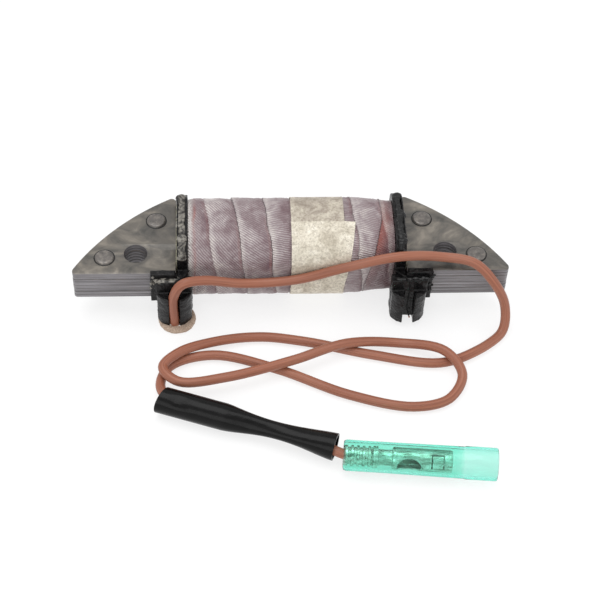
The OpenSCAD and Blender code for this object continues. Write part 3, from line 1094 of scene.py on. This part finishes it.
def wrap_paint(x, share, turn, u, beyond):
    """Values of the cloth's attributes ribs, tint, red, glaze and dark at a point."""
    lean = RIB_LEAN[(turn + 1) % len(RIB_LEAN)] if beyond < 0 else LEAN_BEYOND
    ribs = (x * math.sin(lean) + share * GIRTH * math.cos(lean)) * 2 * math.pi / RIB_PITCH
    # painted light: lighter where a turn's raised edge lies over the turn before, shaded towards its end
    # under the next turn, on a random tone for each turn
    tone_and_painted_shading = 0.95 - 0.95 * u + 0.5 * noise_at(turn * 1.7, share * 2, 0)
    if u < 0.5:
        tone_and_painted_shading += 0.25 * (hump(u, 0, 0.1) + hump(u, 1, 0.05))
    streak = x + 21.9 - 0.5 * noise_at(0, share * 16, 7)
    red = 1.1 * hump(streak, 0, 0.35) * (0.35 + noise_at(x, share * 11, 5))
    if beyond > 0:
        red = max(red, 0.75 * hump(beyond, 0.4, 1.6) * hump(share, 0.42, 0.13))
    red = max(red, 0.25 * (u > 0.9) * max(0.0, noise_at(x * 0.3, share * 8, 9) + 0.25))
    # a pale band at the wrap's left end, and a painted highlight along each turn's raised leading edge
    pale_end_and_painted_highlight = 1.8 * hump(x, -WRAP_END, 0.8) + 0.3 * hump(u, 0.08, 0.07)
    dark = clamp((x - 20.0) / 1.6) * (share > 0.1)
    if -3.2 < x < 0:
        dark = max(dark, 0.5 * (x + 3.2) / 3.2)
    dark = max(dark, 0.7 * (beyond > 0)) * (0.75 + 0.5 * noise_at(x * 0.8, share * 25, 6))
    return ribs, clamp(tone_and_painted_shading), max(0.0, red), pale_end_and_painted_highlight, dark


def make_wrap():
    """Cloth wound in turns: one skin over the winding, with its ends turned inward."""
    cols, rows = 260, 300
    verts, uvs, paint = [], [], []
    for i in range(cols + 1):
        x = -WRAP_END + 2 * WRAP_END * i / cols
        for k in range(rows):
            share = k / rows
            p, n = around(share, WRAP_HALF)
            turn, u = wrap_turn(x, share)
            beyond = x - last_edge(share)
            h = wrap_height(x, share, turn, u, beyond)
            verts.append((x, p.x + n.x * h + COIL_Y, p.y + n.y * h + COIL_Z))
            uvs.append((x * 0.01, share))
            paint.append(wrap_paint(x, share, turn, u, beyond))
    faces = [tuple(reversed(f)) for f in ring_faces(cols + 1, rows)]
    base = len(verts)
    for x in (-WRAP_END, WRAP_END):
        for k in range(rows):
            p, _ = around(k / rows, WRAP_HALF - 1.1)
            verts.append((x, p.x + COIL_Y, p.y + COIL_Z))
            uvs.append((x * 0.01, k / rows))
            paint.append((0.0, 0.2, 0.0, 0.0, 0.0))
    for k in range(rows):
        k2 = (k + 1) % rows
        faces.append((k, k2, base + k2, base + k))
        a, b = cols * rows, base + rows
        faces.append((a + k2, a + k, b + k, b + k2))
        faces.append((base + k, base + k2, base + rows + k2, base + rows + k))
    obj = mesh_object("cloth_winding", verts, faces, uvs)
    for name, values in zip(("ribs", "tone_and_painted_shading", "red", "pale_end_and_painted_highlight", "dark"), zip(*paint)):
        layer = obj.data.attributes.new(name, "FLOAT", "POINT")
        layer.data.foreach_set("value", values)
    return obj


settle(make_wrap(), COIL, "cloth", ["cloth_wrap"], WRAP, angle=60)


TAPE_RIGHT = 12.0


def make_tape(name, left, right, share0, share1, lift, thick, seed):
    """Layer of tape from share0 to share1 round the winding, between its two edges.

    right is a number, or a function of the share where the edge slants.
    """
    cols, rows = 60, 240
    closed = share1 - share0 > 0.999
    verts, uvs = [], []
    count = rows if closed else rows + 1
    for skin in (1, 0):
        for i in range(cols + 1):
            for k in range(count):
                share = share0 + (share1 - share0) * k / rows
                end = right(share) if callable(right) else right
                ragged = 0.08 * noise_at(share * 60, seed, 2)
                x = left + (end - left) * i / cols + ragged * (1 if i in (0, cols) else 0.3)
                p, n = around(share, WRAP_HALF)
                h = lift + thick * skin + 0.05 * noise_at(x * 0.5, share * 22, seed)
                # the tape sags past the lower layer's edge and has a slight ridge at that edge
                h -= 0.06 * max(0.0, x - 11.9) - 0.06 * hump(x, TAPE_RIGHT, 0.25)
                verts.append((x, p.x + n.x * h + COIL_Y, p.y + n.y * h + COIL_Z))
                uvs.append((x * 0.01, share))
    half = (cols + 1) * count
    top = ring_faces(cols + 1, count, closed)
    faces = [tuple(reversed(f)) for f in top]
    faces += [tuple(v + half for v in f) for f in top]
    for k in range(count if closed else count - 1):
        k2 = (k + 1) % count
        faces.append((k, k2, half + k2, half + k))
        a = cols * count
        faces.append((a + k2, a + k, half + a + k, half + a + k2))
    if not closed:
        for i in range(cols):
            a, b = i * count, (i + 1) * count
            faces.append((b, a, half + a, half + b))
            a, b = a + count - 1, b + count - 1
            faces.append((a, b, half + b, half + a))
    return mesh_object(name, verts, faces, uvs)


def flap_edge(share):
    """Right edge of the upper layer, which slants out up the front and over the top."""
    return 12.1 + 2.9 * clamp((share - 0.2) / 0.33)


tape_under = make_tape("tape_layer_under", 0.0, TAPE_RIGHT, 0.0, 1.0, -0.12, 0.16, 1.0)
tape_over = make_tape("tape_layer_over", -0.05, flap_edge, 0.06, 0.475, 0.03, 0.12, 4.0)
settle(tape_under, COIL, "tape", ["tape_band"], TAPE_UNDER, angle=50)
settle(tape_over, COIL, "tape", [], TAPE, angle=50)

for node in ("copper_winding", "layer_insulation"):
    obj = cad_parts[node]
    obj.data.materials.clear()
    obj.data.materials.append(COPPER if node == "copper_winding" else PAPER)


# ---------------------------------------------------------------- fine wires, potting, resin
FINISH_ROUTE = [
    (-23, -6.9, 13.2), (-23.8, -8.2, 13.6), (-25.2, -9.6, 13.6),
    (-26.2, -10.86, 13.6), (-26.4, -10.86, 12), (-26.4, -10.86, 1.2),
]
START_ROUTE = [
    (23, -6.9, 13.2), (23.8, -8.2, 13.6), (25.2, -9.6, 13.6),
    (26.2, -10.86, 13.6), (26.5, -10.86, 12), (26.5, -10.86, 3), (27.1, -11.4, 1.4),
]
for name, node, route in (
    ("finish_wire_end", "finish_wire", FINISH_ROUTE),
    ("start_wire_end", "start_wire", START_ROUTE),
):
    wire = tube(name, curve_through(route, 6), 0.14, 12)
    settle(wire, COIL, "copper", [node], BOBBIN, angle=60)
wire_tip = tube("start_wire_tip", [(27.0, -11.3, 1.7), (27.1, -11.45, 1.3)], 0.17, 12)
settle(wire_tip, COIL, "copper", [], COPPER, angle=60)

disc_profile = [
    (0.0, 1.12), (1.2, 1.14), (3.4, 1.2), (3.95, 1.12), (4.2, 0.85),
    (4.28, 0.45), (4.2, 0.12), (3.9, 0.0), (0.0, 0.0),
]
disc = lathe("potting_disc_body", disc_profile, shift(-26, -10.3, 0), 96)
disc = voxel(disc, 0.12, 1)
rough(disc, 0.1, 0.9, 8.0, 0.04)
settle(disc, COIL, "potting", ["potting_disc"], POTTING, angle=0)

solder = blobs(
    "solder_bead",
    [
        ((-26.5, POST_Y, 0.95), (1.05, 1.05, 0.5)),
        ((-25.4, -12.8, 1.1), (0.35, 0.3, 0.25)),
        ((-27.4, -12.6, 1.1), (0.3, 0.25, 0.22)),
    ],
    0.07,
)
settle(solder, COIL, "solder", ["solder_joint"], SOLDER, angle=0)


# middle of a flange, and centre (y, z) and radius of its shoulder
FLANGE_X = 24.6
SHOULDER_AT, SHOULDER_R = (-1.5, 14.9), 5.1


def resin_lumps(side, seed):
    """Lumps of run-out resin on one flange, as (centre, half sizes)."""
    rnd = random.Random(seed)
    lumps = []
    for k in range(16):  # in the groove of the flange
        y = -3.2 + 13.0 * k / 15
        z = 19.3 - 0.006 * (y - COIL_Y) ** 2
        x = side * (FLANGE_X + rnd.uniform(-0.3, 0.3))
        lumps.append(((x, y, z), (rnd.uniform(0.9, 1.35), 1.2, 0.62)))
    for k in range(9):  # down the shoulder of the flange
        a = 0.25 + 0.12 * k
        y = SHOULDER_AT[0] - SHOULDER_R * math.sin(a)
        z = SHOULDER_AT[1] + SHOULDER_R * math.cos(a)
        x = side * (FLANGE_X + rnd.uniform(-0.2, 0.2))
        lumps.append(((x, y, z), (rnd.uniform(0.7, 1.2), 0.7, 0.5)))
    for k in range(12):  # ledge over the block
        x, y = side * rnd.uniform(FLANGE_X, 30.4), rnd.uniform(-10.0, -8.9)
        half = (rnd.uniform(0.7, 1.5), 0.7, rnd.uniform(0.15, 0.35))
        lumps.append(((x, y, 13.05), half))
    for k in range(7):  # crumbs at the end of the wing plate
        x, y = side * rnd.uniform(30.9, 31.9), rnd.uniform(-9.6, -8.9)
        z = rnd.uniform(8.5, 14.0)
        lumps.append(((x, y, z), (rnd.uniform(0.25, 0.5), 0.3, rnd.uniform(0.25, 0.5))))
    return lumps


for name, node, side, seed, noise_seed, material in (
    ("resin_run_left", "resin_left", -1, 3, 4.0, GREY_RESIN),
    ("resin_run_right", "resin_right", 1, 11, 9.0, BLACK_RESIN),
):
    resin = blobs(name, resin_lumps(side, seed), 0.13, 2, noise_seed)
    settle(resin, COIL, "resin", [node], material, angle=0)


# ---------------------------------------------------------------- floor and light
FLOOR_HALF, FLOOR_Z = 3000, -0.1


def make_stage():
    """Floor, a white surround and three soft lights."""
    h, z = FLOOR_HALF, FLOOR_Z
    floor = mesh_object("floor", [(-h, -h, z), (h, -h, z), (h, h, z), (-h, h, z)], [(0, 1, 2, 3)])
    floor.data.materials.append(look_floor())
    world = bpy.data.worlds.new("studio")
    bpy.context.scene.world = world
    world.use_nodes = True
    back = world.node_tree.nodes["Background"]
    back.inputs["Color"].default_value = (1, 1, 1, 1)
    back.inputs["Strength"].default_value = 0.86

    def softbox(name, at, size, power):
        """Square light at a place in metres, turned to the origin."""
        data = bpy.data.lights.new(name, "AREA")
        data.shape = "SQUARE"
        data.size = size
        data.energy = power
        obj = placed(name, data)
        obj.location = at
        obj.rotation_euler = (-Vector(at)).to_track_quat("-Z", "Y").to_euler()

    softbox("top_box", (-0.12, 0.1, 0.75), 0.55, 2.2)
    softbox("front_box", (-0.35, -0.75, 0.45), 0.5, 1.2)
    softbox("right_box", (0.7, -0.1, 0.4), 0.4, 0.6)


make_stage()
bpy.context.scene.view_settings.view_transform = "Standard"
